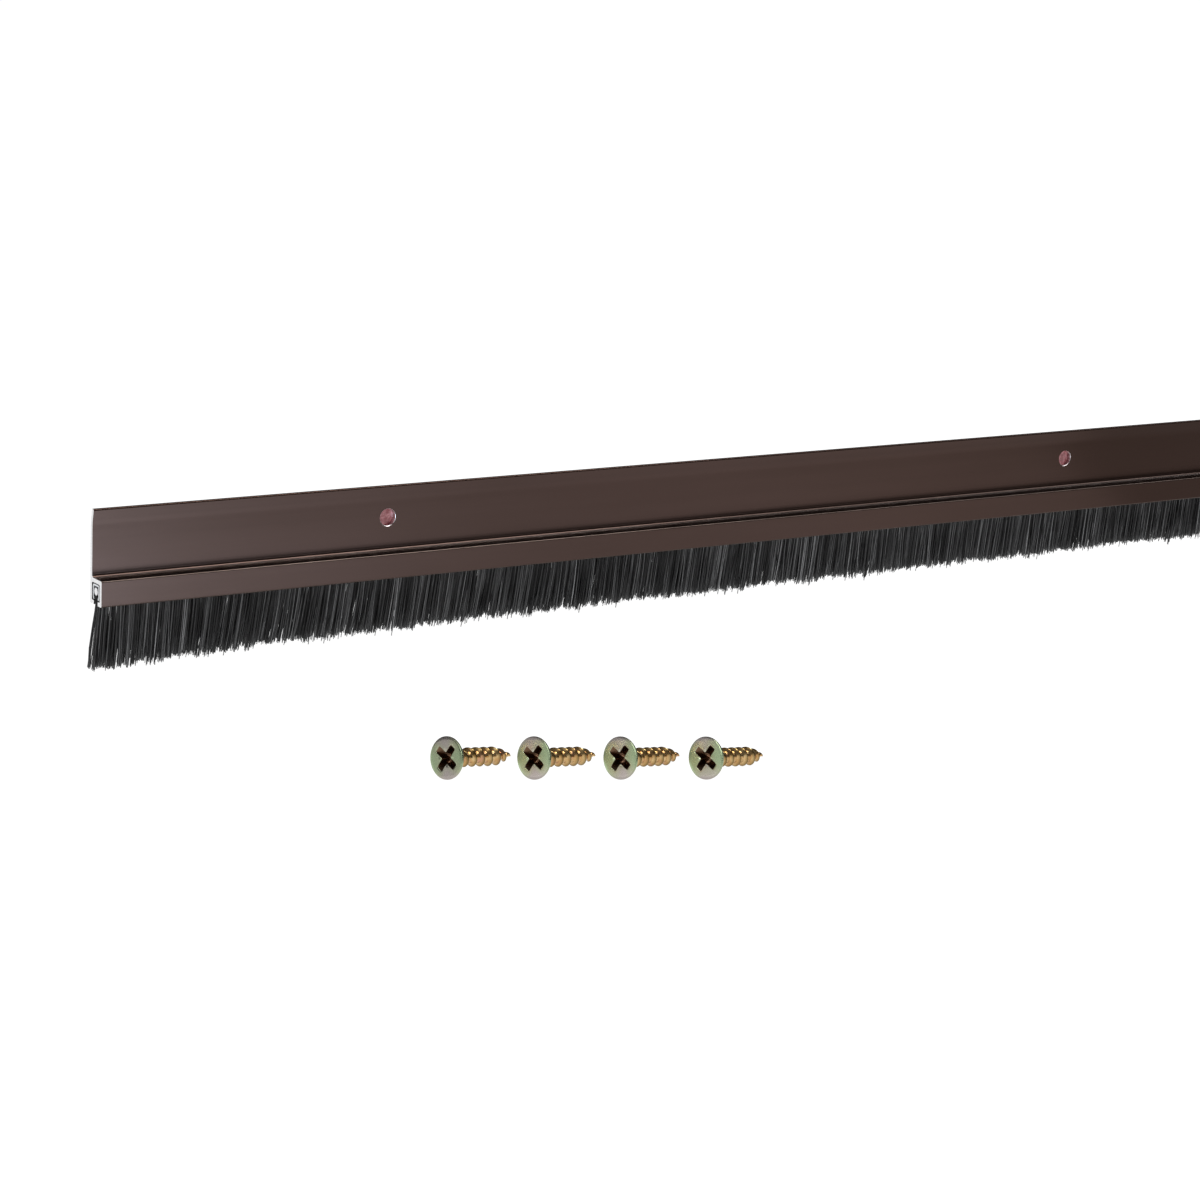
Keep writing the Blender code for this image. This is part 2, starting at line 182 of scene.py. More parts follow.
def mixColours(tree, factor, first, second):
    # two colours, each plain or from another node: sockets 6 and 7 of a colour mix, whose result is on 2
    node = makeNode(tree, "Mix", {0: factor}, data_type="RGBA")
    for socket, value in ((node.inputs[6], first), (node.inputs[7], second)):
        if isinstance(value, bpy.types.NodeSocket):
            tree.links.new(value, socket)
        else:
            socket.default_value = (*value, 1.0)
    return node.outputs[2]


def paint(tree, shader, colour, roughness):
    # the patterns that the shader takes its colour and its gloss from
    tree.links.new(colour, shader.inputs["Base Color"])
    tree.links.new(roughness, shader.inputs["Roughness"])


def setBump(tree, shader, height, depth, strength=1.0):
    # the factor as relief, so many metres deep
    bump = makeNode(tree, "Bump", {"Height": height, "Strength": strength, "Distance": depth})
    tree.links.new(bump.outputs["Normal"], shader.inputs["Normal"])


# the carrier: one extrusion with a flange, a box and a slot between two lips
anodised = dict(
    metal=0.95, deep=(0.027, 0.0145, 0.0108), warm=(0.032, 0.0175, 0.0135), cloudCells=(9.0, 70.0, 70.0),
    cloudStops=(0.28, 0.74), rubbedAndHighlit=(0.13, 0.10, 0.085), rubAndHighlightMix=0.40, rubAndHighlightMixMost=0.62,
    speckCells=(260.0, 900.0, 900.0), speckRange=(0.40, 0.66), smooth=0.21, rough=0.27,
    dieCells=(3.0, 2400.0, 2400.0), dieDepth=3e-6, dieStrength=0.6)
bareMetal = dict(
    dark=(0.60, 0.61, 0.62), light=(0.88, 0.88, 0.88), stops=(0.3, 0.62), smooth=0.26, rough=0.46,
    sawCells=(700.0, 500.0, 5200.0), sawDepth=1.5e-5)
boreMetal = dict(bareMetal, dark=(0.34, 0.30, 0.30), light=(0.86, 0.80, 0.80))
carrier = dict(
    arcSteps=6, hold=0.12 * mm, edge=0.4 * mm, fillet=0.85 * mm, filletHighlight=0.2, topRound=0.5 * mm,
    curlDepth=0.8 * mm, curlHeight=4.0 * mm, curlRadius=10 * mm, stationGap=20 * mm, holeCount=4,
    holeInset=95 * mm, holeSize=5.22 * mm, chamfer=0.09 * mm, patch=4.4 * mm, patchSteps=16, patchClear=1.2,
    ringShares=(0.4, 0.75, 1.0), sawnSlot=1, drilledSlot=2, crease=25.0)


def anodisedFinish(look):
    # brown that drifts in clouds, with die lines along the length; specked lighter colour is rubbed wear and
    # painted highlight on the box's edges, and a painted highlight line in the root fillet
    finish, tree, shader = startFinish("anodisedBrown", {"Metallic": look["metal"]})
    dieLines = objectNoise(tree, look["dieCells"], detail=3.0, roughness=0.6)
    clouds = objectNoise(tree, look["cloudCells"], detail=3.0)
    specks = objectNoise(tree, look["speckCells"], detail=2.0, roughness=0.6)
    speckling = between(tree, specks, look["rubAndHighlightMix"], look["rubAndHighlightMixMost"], *look["speckRange"])
    # specked lighter colour: rubbed wear and painted highlight on the box's edges, a painted highlight line
    # in the root fillet
    rubAndHighlightMix = combine(tree, "MULTIPLY", ownValue(tree, "rubAndHighlight"), speckling)
    brown = ramp(tree, clouds, look["cloudStops"], (look["deep"], look["warm"]))
    colour = mixColours(tree, rubAndHighlightMix, brown, look["rubbedAndHighlit"])
    paint(tree, shader, colour, between(tree, dieLines, look["smooth"], look["rough"]))
    setBump(tree, shader, dieLines, look["dieDepth"], look["dieStrength"])
    return finish


def bareFinish(name, look):
    # bright metal with fine marks across the cut
    finish, tree, shader = startFinish(name, {"Metallic": 1.0})
    sawn = objectNoise(tree, look["sawCells"], detail=3.0, roughness=0.65)
    colour = ramp(tree, sawn, look["stops"], (look["dark"], look["light"]))
    paint(tree, shader, colour, between(tree, sawn, look["smooth"], look["rough"]))
    setBump(tree, shader, sawn, look["sawDepth"])
    return finish


def carrierOutline(size):
    # the section's corners, each with its radius and its lighter colour (rubbed wear and painted highlight on
    # the box's edges, a painted highlight in the root fillet), become arcs with a point before and after; the
    # first group ends at the flange's root, and the second is the flange's curled top
    flangeLow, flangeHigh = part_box("carrier_flange")
    wallLow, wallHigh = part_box("carrier_front_wall")
    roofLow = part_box("carrier_roof")[0]
    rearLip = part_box("carrier_rear_lip")
    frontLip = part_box("carrier_front_lip")
    front, inner, boxTop, slotTop = wallLow[1], wallHigh[1], wallHigh[2], roofLow[2]
    back, face, under, top = flangeHigh[1], flangeHigh[1] - (inner - front), flangeLow[2], flangeHigh[2]
    curl, bend = size["curlDepth"], top - size["curlHeight"]
    mouthRear, mouthFront, lipTop = rearLip[0][1], frontLip[1][1], rearLip[1][2]
    edge, half = size["edge"], size["edge"] / 2
    lower = [
        (back, under, half, 0), (mouthRear, under, half, 0), (mouthRear, lipTop, half, 0),
        (face, lipTop, half, 0), (face, slotTop, edge, 0), (inner, slotTop, edge, 0),
        (inner, lipTop, half, 0), (mouthFront, lipTop, half, 0), (mouthFront, under, half, 0),
        (front, under, edge, 1), (front, boxTop, edge, 1),
        # the root fillet carries a painted highlight line
        (face, boxTop, size["fillet"], size["filletHighlight"])]
    upper = [
        (face, bend, size["curlRadius"], 0), (face - curl, top, size["topRound"], 0),
        (back - curl, top, half, 0), (back, bend, size["curlRadius"], 0)]
    corners = np.array(lower + upper)
    place, radius = corners[:, :2], corners[:, 2:3]
    behind = np.roll(place, 1, axis=0) - place
    ahead = np.roll(place, -1, axis=0) - place
    behind /= np.linalg.norm(behind, axis=1, keepdims=True)
    ahead /= np.linalg.norm(ahead, axis=1, keepdims=True)
    halfAngle = np.arccos(np.clip((behind * ahead).sum(axis=1, keepdims=True), -1, 1)) / 2
    start = place + behind * radius / np.tan(halfAngle)
    end = place + ahead * radius / np.tan(halfAngle)
    inward = behind + ahead
    centre = place + inward / np.linalg.norm(inward, axis=1, keepdims=True) * radius / np.sin(halfAngle)
    first = np.arctan2(*(start - centre).T[::-1])
    turn = (np.arctan2(*(end - centre).T[::-1]) - first + math.pi) % (2 * math.pi) - math.pi
    share = np.linspace(0, 1, size["arcSteps"] + 1)
    angle = first[:, None] + turn[:, None] * share
    arcs = centre[:, None] + radius[:, None] * np.stack((np.cos(angle), np.sin(angle)), axis=-1)
    before = (start + behind * size["hold"])[:, None]
    after = (end + ahead * size["hold"])[:, None]
    rows = np.concatenate((before, arcs, after), axis=1)
    # lighter colour peaking mid-arc: rubbed wear and painted highlight on the box's edges, painted highlight
    # in the fillet
    arcRubAndHighlight = corners[:, 3:4] * np.concatenate(([0], np.sin(math.pi * share), [0]))
    return rows, arcRubAndHighlight, len(lower), face, back


def buildCarrier(size, finishes):
    # the outline is carried along the length; round each hole a square of the flange's grid gives way to
    # rings that go from the square to the circle, through the wall and out to the square behind
    low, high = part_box("carrier_flange")
    rows, arcRubAndHighlight, root, face, back = carrierOutline(size)                 # root: corners up to the flange's root
    steps, reach = size["patchSteps"], size["patch"]
    rise = np.linspace(-reach, reach, steps + 1)
    frontPatch = np.stack((np.full(steps + 1, face), rise), axis=-1)
    backPatch = np.stack((np.full(steps + 1, back), -rise), axis=-1)
    plain = np.zeros(steps + 1)
    outline = np.concatenate((rows[:root].reshape(-1, 2), frontPatch, rows[root:].reshape(-1, 2), backPatch))
    rubbedAndHighlit = np.concatenate((arcRubAndHighlight[:root].ravel(), plain, arcRubAndHighlight[root:].ravel(), plain))
    frontStart = root * rows.shape[1]
    around = len(outline)
    backStart = around - (steps + 1)

    holes = np.linspace(low[0] + size["holeInset"], high[0] - size["holeInset"], size["holeCount"])
    even = np.linspace(low[0], high[0], int((high[0] - low[0]) / size["stationGap"]) + 1)
    even = even[(np.abs(even[:, None] - holes) > reach * size["patchClear"]).all(axis=1)]
    stations = np.sort(np.concatenate((even, (holes[:, None] + rise).ravel())))
    points = np.empty((len(stations), around, 3))
    points[..., 0] = stations[:, None]
    points[..., 1:] = outline
    points = points.reshape(-1, 3)
    cells = quadGrid(len(stations), around).reshape(len(stations) - 1, around, 4)
    keep = np.ones(cells.shape[:2], dtype=bool)

    side = np.arange(steps)
    across = np.concatenate((side, np.full(steps, steps), steps - side, np.zeros(steps, dtype=int)))
    upward = np.concatenate((np.zeros(steps, dtype=int), side, np.full(steps, steps), steps - side))
    square = np.stack((rise[across], rise[upward]), axis=-1)
    circle = square / np.linalg.norm(square, axis=1, keepdims=True)
    bore, rim = size["holeSize"] / 2, size["holeSize"] / 2 + size["chamfer"]
    flat = [square + (circle * rim - square) * share for share in size["ringShares"]]
    sections = np.stack(flat + [circle * bore, circle * bore] + flat[::-1])
    boreDepths = [face + size["chamfer"], back - size["chamfer"]]
    depths = np.array([face] * len(flat) + boreDepths + [back] * len(flat))
    stripSlots = np.zeros(len(sections) + 1, dtype=int)
    stripSlots[len(flat):len(flat) + 2] = size["drilledSlot"]          # the front chamfer and the bore
    blocks, slots, ringPoints = [], [], []
    for hole in holes:
        station = np.argmin(np.abs(stations - (hole - reach)))
        keep[station:station + steps, frontStart:frontStart + steps] = False
        keep[station:station + steps, backStart:backStart + steps] = False
        rings = np.empty((len(sections), 4 * steps, 3))
        rings[..., 0] = hole + sections[..., 0]
        rings[..., 1] = depths[:, None]
        rings[..., 2] = sections[..., 1]
        firstNumber = len(points) + sum(map(len, ringPoints))
        number = firstNumber + np.arange(rings[..., 0].size).reshape(rings.shape[:2])
        firstRing = (station + across) * around + frontStart + upward
        lastRing = (station + across) * around + backStart + steps - upward
        blocks.append(stripQuads(np.concatenate((firstRing[None], number, lastRing[None]))))
        slots.append(np.repeat(stripSlots, 4 * steps))
        ringPoints.append(rings.reshape(-1, 3))
    cells = cells[keep]
    ends = np.stack((np.arange(around), (len(stations) - 1) * around + np.arange(around)))
    points = np.concatenate([points] + ringPoints)
    # the arcs' lighter colour, rubbed wear and painted highlight, carried along the length
    rubAndHighlight = np.concatenate((np.tile(rubbedAndHighlit, len(stations)), np.zeros(len(points) - around * len(stations))))
    faceSlots = np.concatenate([np.zeros(len(cells))] + slots + [np.full(len(ends), size["sawnSlot"])])
    mesh = fillMesh("carrier_extrusion", points, [cells] + blocks + [ends], faceSlots, {"rubAndHighlight": rubAndHighlight})
    closeMesh(mesh)
    walls = ("carrier_flange", "carrier_roof", "carrier_front_wall", "carrier_rear_lip", "carrier_front_lip")
    piece = addPiece(mesh, "carrier", walls, finishes, size["crease"])
    print("carrier:", len(mesh.polygons), "faces")
    return piece


carrierPiece = buildCarrier(carrier, (anodisedFinish(anodised), bareFinish("sawnAluminium", bareMetal),
                                      bareFinish("drilledAluminium", boreMetal)))


# the bristles: every filament is folded over the core wire and hangs as two legs
nylon = dict(
    deep=(0.0035, 0.0035, 0.004), light=(0.315, 0.317, 0.325), smooth=0.28, rough=0.44, gloss=0.30,
    grainCells=(2600.0, 2600.0, 320.0), grainTint=(0.75, 1.2), grainDepth=6e-6)
bristle = dict(
    seed=41, perSegment=500, thickness=0.30 * mm, sides=4, tipTaper=0.72, neck=0.83 * mm, inside=0.12 * mm,
    bow=0.11 * mm, scatter=0.25 * mm, splay=1.75 * mm, splayRange=(0.6, 1.0), splayPower=0.8,
    wander=0.225 * mm, curvePower=1.15, tuftPitch=1.5 * mm, spareTufts=4, tuftPull=0.16, pullRange=(0.5, 1.4),
    tuftLean=0.18 * mm, tuftTrim=0.55 * mm, trim=0.40 * mm, stray=0.03, strayReach=1.6 * mm,
    strayRange=(0.3, 1.0), leastReach=8 * mm, floorGap=0.1 * mm, endSplay=0.4 * mm, endReach=20 * mm,
    foldInset=1.5 * mm, foldGap=0.55, foldLayer=0.2, foldPoints=5, tintShape=(0.40, 2.2), crease=120.0,
    wayDown=(1.0, 0.68, 0.34, 0.1), neckHeights=(0.4 * mm, 2.2 * mm),
    # share of the sweep's length, and there the length and the lean of the bristles in millimetres
    tipLine=((0, 18.6), (.02, 17.3), (.06, 16.4), (.12, 15.7), (.2, 15.2), (.3, 14.9), (.4, 14.2), (.5, 14.1),
             (.7, 15.0), (.9, 15.8), (1, 17.4)),
    leanLine=((0, 1.6), (.012, 1.4), (.045, 3.2), (.14, 3.0), (.18, 2.3), (.21, 2.8), (.29, 2.0), (.33, 2.6),
              (.5, 2.6), (1, 1.9)))


def nylonFinish(look):
    # each filament has a tint of its own, and faint lengths of drawn grain
    finish, tree, shader = startFinish("blackNylon", {"Specular IOR Level": look["gloss"]})
    grain = objectNoise(tree, look["grainCells"], detail=2.0)
    shade = combine(tree, "MULTIPLY", ownValue(tree, "strandTint"), between(tree, grain, *look["grainTint"]))
    colour = ramp(tree, shade, (0.0, 1.0), (look["deep"], look["light"]))
    paint(tree, shader, colour, between(tree, grain, look["smooth"], look["rough"]))
    setBump(tree, shader, grain, look["grainDepth"])
    return finish


def tubes(paths, radius, sides):
    # rings across each path, square to it, turned from the lengthwise direction
    along = np.gradient(paths, axis=1)
    along /= np.linalg.norm(along, axis=2, keepdims=True)
    lengthwise = np.array((1.0, 0.0, 0.0))
    across = lengthwise - along * (along @ lengthwise)[..., None]
    across /= np.linalg.norm(across, axis=2, keepdims=True)
    third = np.cross(along, across)
    angle = (np.arange(sides) + 0.5) * 2 * math.pi / sides
    ring = across[:, :, None] * np.cos(angle)[:, None] + third[:, :, None] * np.sin(angle)[:, None]
    points = paths[:, :, None] + ring * radius[:, :, None, None]
    count, rings = paths.shape[:2]
    one = quadGrid(rings, sides)[:, ::-1]
    caps = np.stack((np.arange(sides), np.arange(sides)[::-1] + (rings - 1) * sides))
    faces = np.concatenate((one, caps)) + (np.arange(count) * rings * sides)[:, None, None]
    return points.reshape(-1, 3), faces.reshape(-1, sides)


def buildBristles(size, finish):
    # a leg goes from its place in the neck to its place at the tip as a power of the way down;
    # filaments of a tuft draw together at the tips and share their lean and length
    low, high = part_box("carrier_flange")
    wireLow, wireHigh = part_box("core_wire")
    middle = (wireLow[1] + wireHigh[1]) / 2
    wireLevel = (wireLow[2] + wireHigh[2]) / 2
    wireRadius = (wireHigh[1] - wireLow[1]) / 2
    under, left, length = low[2], low[0], high[0] - low[0]
    tipShares, tipLengths = np.array(size["tipLine"]).T
    leanShares, leans = np.array(size["leanLine"]).T
    common = np.random.default_rng(size["seed"])
    tuftCount = int(length / size["tuftPitch"]) + size["spareTufts"]
    lean = common.normal(0, size["tuftLean"], (2, tuftCount))
    trim = common.normal(0, size["tuftTrim"], (2, tuftCount))
    pull = size["tuftPull"] * common.uniform(*size["pullRange"], (2, tuftCount))
    tuftShift = common.uniform(0, size["tuftPitch"], 2)
    wayDown = np.array(size["wayDown"])
    curve = wayDown ** size["curvePower"]
    hanging = len(wayDown)
    arch = np.linspace(0, math.pi, size["foldPoints"])
    nodes = [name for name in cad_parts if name.startswith("bristles_")]
    count, span = size["perSegment"], length / len(nodes)
    for number, node in enumerate(sorted(nodes)):
        rng = np.random.default_rng(size["seed"] + 1 + number)
        root = left + span * (number + (np.arange(count) + rng.uniform(0, 1, count)) / count)
        root = np.clip(root, left + size["thickness"], left + length - size["thickness"])
        layer = rng.uniform(0, 1, count)
        offset = (root - left) / length
        fromEnd = np.minimum(root - left, left + length - root)
        outward = np.sign(root) * size["endSplay"] * np.clip(1 - fromEnd / size["endReach"], 0, 1)
        legs = []
        for side, facing in enumerate((-1, 1)):
            tuft = ((root - left + tuftShift[side]) / size["tuftPitch"]).astype(int)
            tuftMiddle = left - tuftShift[side] + (tuft + 0.5) * size["tuftPitch"]
            sideways = (tuftMiddle - root) * pull[side, tuft] + lean[side, tuft]
            sideways = sideways + outward - np.interp(offset, leanShares, leans) * mm
            sideways = sideways + rng.normal(0, size["scatter"], count)
            neck = facing * (size["inside"] + layer * (size["neck"] - size["inside"]))
            spread = facing * size["splay"] * layer ** size["splayPower"]
            spread = spread * rng.uniform(*size["splayRange"], count)
            spread = spread + rng.normal(0, size["wander"], count)
            reach = np.interp(offset, tipShares, tipLengths) * mm + trim[side, tuft] - size["tuftTrim"]
            reach = reach + rng.normal(0, size["trim"], count)
            stray = rng.uniform(0, 1, count) < size["stray"]
            reach = reach + stray * rng.uniform(*size["strayRange"], count) * size["strayReach"]
            reach = np.clip(reach, size["leastReach"], under - floorLevel - size["floorGap"])
            bow = rng.normal(0, size["bow"], count)
            along = root[:, None] + sideways[:, None] * curve + bow[:, None] * np.sin(math.pi * wayDown)
            leg = np.empty((count, hanging + len(size["neckHeights"]), 3))
            leg[:, :hanging, 0] = np.clip(along, cadBox[0][0] + size["thickness"],
                                          cadBox[1][0] - size["thickness"])
            leg[:, :hanging, 1] = middle + neck[:, None] + spread[:, None] * curve
            leg[:, :hanging, 2] = under - reach[:, None] * wayDown
            leg[:, hanging:, 0] = root[:, None]
            leg[:, hanging:, 1] = middle + neck[:, None]
            leg[:, hanging:, 2] = under + np.array(size["neckHeights"])
            legs.append(leg)
        fold = wireRadius + size["thickness"] * (size["foldGap"] + size["foldLayer"] * layer)
        over = np.empty((count, len(arch), 3))
        over[..., 0] = np.clip(root, left + size["foldInset"], left + length - size["foldInset"])[:, None]
        over[..., 1] = middle - fold[:, None] * np.cos(arch)
        over[..., 2] = wireLevel + fold[:, None] * np.sin(arch)
        paths = np.concatenate((legs[0], over, legs[1][:, ::-1]), axis=1)
        ringCount = paths.shape[1]
        radius = np.full((count, ringCount), size["thickness"] / 2)
        radius[:, (0, -1)] *= size["tipTaper"]
        points, faces = tubes(paths, radius, size["sides"])
        tint = np.repeat(rng.beta(*size["tintShape"], count), ringCount * size["sides"])
        mesh = fillMesh("bristle_row_%02d" % (number + 1), points, [faces], None, {"strandTint": tint})
        addPiece(mesh, "brush", (node,), (finish,), size["crease"])
    print("bristles:", len(nodes), "rows of", count, "folded filaments,", ringCount, "rings each")


buildBristles(bristle, nylonFinish(nylon))


# the loose screws: a countersunk head with a cross recess, and a coarse thread down to the point
zinc = dict(
    rose=(0.54, 0.29, 0.19), gold=(0.52, 0.31, 0.12), straw=(0.66, 0.48, 0.24), crest=(0.12, 0.085, 0.03),
    shankCells=(420.0, 420.0, 420.0), shankStops=(0.28, 0.45, 0.68), mist=(0.36, 0.32, 0.30),
    pale=(0.33, 0.345, 0.235), sage=(0.29, 0.36, 0.22), headStops=(0.12, 0.48, 0.85), drift=0.12,
    driftCells=(300.0, 300.0, 300.0), pit=(0.13, 0.075, 0.045), smooth=0.20, rough=0.30,
    grainCells=(2600.0, 2600.0, 2600.0), grainDepth=1e-6)
screw = dict(
    count=4, diameter=5.0 * mm, core=3.1 * mm, pitch=3.1 * mm, length=25 * mm, head=10.97 * mm, rim=0.5 * mm,
    point=6.5 * mm, neckEnd=4.4 * mm, recess=7.4 * mm, recessDepth=2.5 * mm, web=1.55 * mm, columns=72,
    armColumns=3, weld=1e-6, crease=32.0, rowInset=33.7 * mm, rowFront=138.2 * mm, rowTurn=-25.2,
    rowPitch=22.1 * mm, heading=16.2, recessTurn=63.0, toneTurn=20.0,
    # rings of the head: in the recess, shares of its outline and depth; on its lip, a share of its outline, a
    # depth and how much of the recess's painted shade it takes
    pitRings=((0, 1.08), (0.30, 1.04), (0.52, 0.95), (0.60, 0.84)),
    lipRings=((0.94, 0.14 * mm, 1), (0.985, 0.04 * mm, 0.5)), lipWidth=0.07 * mm, faceShares=(0.3, 0.8),
    # round the rim and down the cone, a share of the head's radius, then of the core's, and the place along
    rimRings=((0.94, 0.01 * mm), (0.98, 0.07 * mm), (1, 0.22 * mm), (1, 0.42 * mm), (0.985, 0.56 * mm),
              (0.93, 0.86 * mm)),
    coneRing=(0.55, 2.85 * mm), neckRings=((1.35, 3.45 * mm), (1.1, 3.9 * mm)),
    # one turn of thread: its rows as shares of the pitch, and their height as a share of the ridge
    threadRows=(0.0, 0.20, 0.31, 0.40, 0.455, 0.5, 0.545, 0.60, 0.69, 0.80),
    ridge=(0.0, 0.0, 0.08, 0.52, 0.93, 1.0, 0.93, 0.52, 0.08, 0.0),
    spareTurns=3, runIn=0.55, coreTaper=0.9, crestTaper=0.62, crestPower=1.5, crestShadeLevel=0.9)


def zincFinish(look):
    # yellow plating that shimmers from rose to straw, paler and greener over the head, with painted shade in
    # the cross recess and over the thread's crests
    finish, tree, shader = startFinish("yellowZinc", {"Metallic": 1.0})
    drift = between(tree, objectNoise(tree, look["driftCells"], detail=2.0), -look["drift"], look["drift"])
    tinge = combine(tree, "ADD", ownValue(tree, "headTone"), drift)
    shimmer = objectNoise(tree, look["shankCells"], detail=3.0, roughness=0.55)
    shank = ramp(tree, shimmer, look["shankStops"], (look["rose"], look["gold"], look["straw"]))
    # painted shade over the thread's crests and flanks
    thread = mixColours(tree, ownValue(tree, "crestShade"), shank, look["crest"])
    head = ramp(tree, tinge, look["headStops"], (look["mist"], look["pale"], look["sage"]))
    outside = mixColours(tree, ownValue(tree, "headFace"), thread, head)
    # painted shade in the cross recess
    colour = mixColours(tree, ownValue(tree, "recessShade"), outside, look["pit"])
    fine = objectNoise(tree, look["grainCells"], detail=2.0)
    paint(tree, shader, colour, between(tree, fine, look["smooth"], look["rough"]))
    setBump(tree, shader, fine, look["grainDepth"])
    return finish


def crossOutline(size, angle):
    # the recess's radius at each angle: the nearer of an arm's end and its sides, but never less than the web
    quarter = math.pi / 2
    toArm = (angle - math.radians(size["recessTurn"]) + quarter / 2) % quarter - quarter / 2
    arm = size["recess"] / 2
    halfWidth = arm * math.tan(2 * math.pi * size["armColumns"] / size["columns"])
    leastSine = 1e-6
    cross = np.minimum(arm / np.cos(toArm), halfWidth / np.maximum(np.abs(np.sin(toArm)), leastSine))
    return np.maximum(cross, size["web"])


def screwShape(size):
    # head: rings from the recess's middle out over the face, round the rim and down the cone to the core
    # thread: a grid sheared so that each row follows the helix; its height over the core depends on the row
    # alone, and rows that start before the neck or run past the point are held there and closed
    columns = size["columns"]
    angle = np.arange(columns + 1) * 2 * math.pi / columns
    core, crest, end = size["core"] / 2, size["diameter"] / 2, size["length"]
    head = size["head"] / 2
    cross = crossOutline(size, angle)
    even = np.ones(columns + 1)
    faceRim = size["rimRings"][0][0] * head
    coneShare, conePlace = size["coneRing"]
    rings = [(share * cross, size["recessDepth"] * level, 1) for share, level in size["pitRings"]]
    rings += [(share * cross, level, inside) for share, level, inside in size["lipRings"]]
    rings += [(cross + size["lipWidth"], 0, 0)]
    rings += [(cross + share * (faceRim - cross), 0, 0) for share in size["faceShares"]]
    rings += [(share * head * even, level, 0) for share, level in size["rimRings"]]
    faceRings = len(rings)
    rings += [(coneShare * head * even, conePlace, 0)]
    rings += [(share * core * even, level, 0) for share, level in size["neckRings"]]
    rings += [(core * even, size["neckEnd"], 0)]
    headRadius = np.stack([ring[0] for ring in rings])
    headPlace = np.repeat([ring[1] for ring in rings], columns + 1).reshape(headRadius.shape)
    # painted shade in the recess, and part of it on the lip
    pit = np.repeat([ring[2] for ring in rings], columns + 1)
    onHead = np.repeat(np.arange(len(rings)) < faceRings, columns + 1).astype(float)

    ridge = np.array(size["ridge"])
    turns = int((end - size["neckEnd"]) / size["pitch"]) + size["spareTurns"]
    row = (np.arange(turns)[:, None] + np.array(size["threadRows"])).ravel()
    place = size["neckEnd"] + size["pitch"] * (row[:, None] - angle / (2 * math.pi))
    place = np.clip(place, size["neckEnd"], end)
    taper = np.clip((end - place) / size["point"], 0, 1)
    start = np.clip((place - size["neckEnd"]) / (size["runIn"] * size["pitch"]), 0, 1)
    coreHere = core * taper ** size["coreTaper"]
    crestHere = crest * np.minimum(1, taper ** size["crestTaper"])
    threadRadius = coreHere + (crestHere - coreHere) * np.tile(ridge, turns)[:, None] * start
    radius = np.concatenate((headRadius, threadRadius))
    along = np.concatenate((headPlace, place))
    points = np.stack((radius * np.cos(angle), radius * np.sin(angle), -along), axis=-1).reshape(-1, 3)
    headQuads = quadGrid(len(headRadius), columns + 1, False)
    threadQuads = quadGrid(len(threadRadius), columns + 1, False) + headRadius.size
    rest = np.zeros(threadRadius.size)
    # painted shade over the crests, strongest at the top
    top = np.repeat(np.tile(ridge ** size["crestPower"], turns), columns + 1) * size["crestShadeLevel"]
    tone = 0.5 + 0.5 * radius / head * np.cos(2 * angle - math.radians(2 * size["toneTurn"]))
    values = {"headFace": np.concatenate((onHead, rest)), "recessShade": np.concatenate((pit, rest)),
              "headTone": tone.ravel(), "crestShade": np.concatenate((np.zeros(headRadius.size), top))}
    return points, np.concatenate((headQuads, threadQuads)), values


def buildScrews(size, finish):
    # each lies on its head's rim and its thread, nose down by the angle of that tangent, in a slanting row
    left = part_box("carrier_flange")[0][0]
    points, faces, values = screwShape(size)
    fullThread = size["length"] - size["point"]
    reach = fullThread - size["rim"]
    drop = (size["head"] - size["diameter"]) / 2
    tilt = math.atan2(drop, reach)
    heading, rowTurn = math.radians(size["heading"]), math.radians(size["rowTurn"])
    level, down = math.cos(tilt), math.sin(tilt)
    pointing = Vector((level * math.cos(heading), level * math.sin(heading), -down))
    turn = np.array(pointing.to_track_quat("-Z", "Y").to_matrix())
    height = size["head"] / 2 * level + size["rim"] * down
    heads = []
    for number in range(size["count"]):
        step = number * size["rowPitch"]
        headPlace = (left + size["rowInset"] + step * math.cos(rowTurn),
                     -size["rowFront"] + step * math.sin(rowTurn), floorLevel + height)
        body = "loose_screw_%d" % (number + 1)
        mesh = fillMesh(body, points @ turn.T + headPlace, [faces], None, values)
        closeMesh(mesh, size["weld"])
        nodes = ("screw_%d" % (number + 1),)
        piece = addPiece(mesh, body, nodes, (finish,), size["crease"])
        heads.append((piece, Vector(headPlace), pointing))
    print("screws:", size["count"], "of", len(mesh.polygons), "faces")
    return heads


screwHeads = buildScrews(screw, zincFinish(zinc))


# the CAD pieces that stay: channel, wire, tape and liner get their own finishes
steel = dict(
    dark=(0.58, 0.60, 0.62), light=(0.80, 0.82, 0.84), smooth=0.30, rough=0.48, spangle=420.0, depth=3e-6)
wire = dict(
    dark=(0.62, 0.62, 0.63), light=(0.86, 0.86, 0.87), stops=(0.3, 0.7), smooth=0.26, rough=0.42,
    lineCells=(14.0, 5200.0, 5200.0), depth=5e-6)
tape = dict(
    shade=(0.26, 0.04, 0.05), pale=(0.52, 0.20, 0.215), stops=(0.38, 0.60), smooth=0.16, rough=0.34, coat=0.3,
    coatRough=0.12, patchCells=(620.0, 620.0, 620.0), depth=4e-5, strength=0.4)
film = dict(
    deep=(0.40, 0.018, 0.022), bright=(0.56, 0.035, 0.035), stops=(0.3, 0.7), smooth=0.18, rough=0.34,
    coat=0.3, coatRough=0.2, streakCells=(10.0, 420.0, 420.0), wrinkleCells=(120.0, 240.0, 240.0),
    depth=6e-5, strength=0.5)


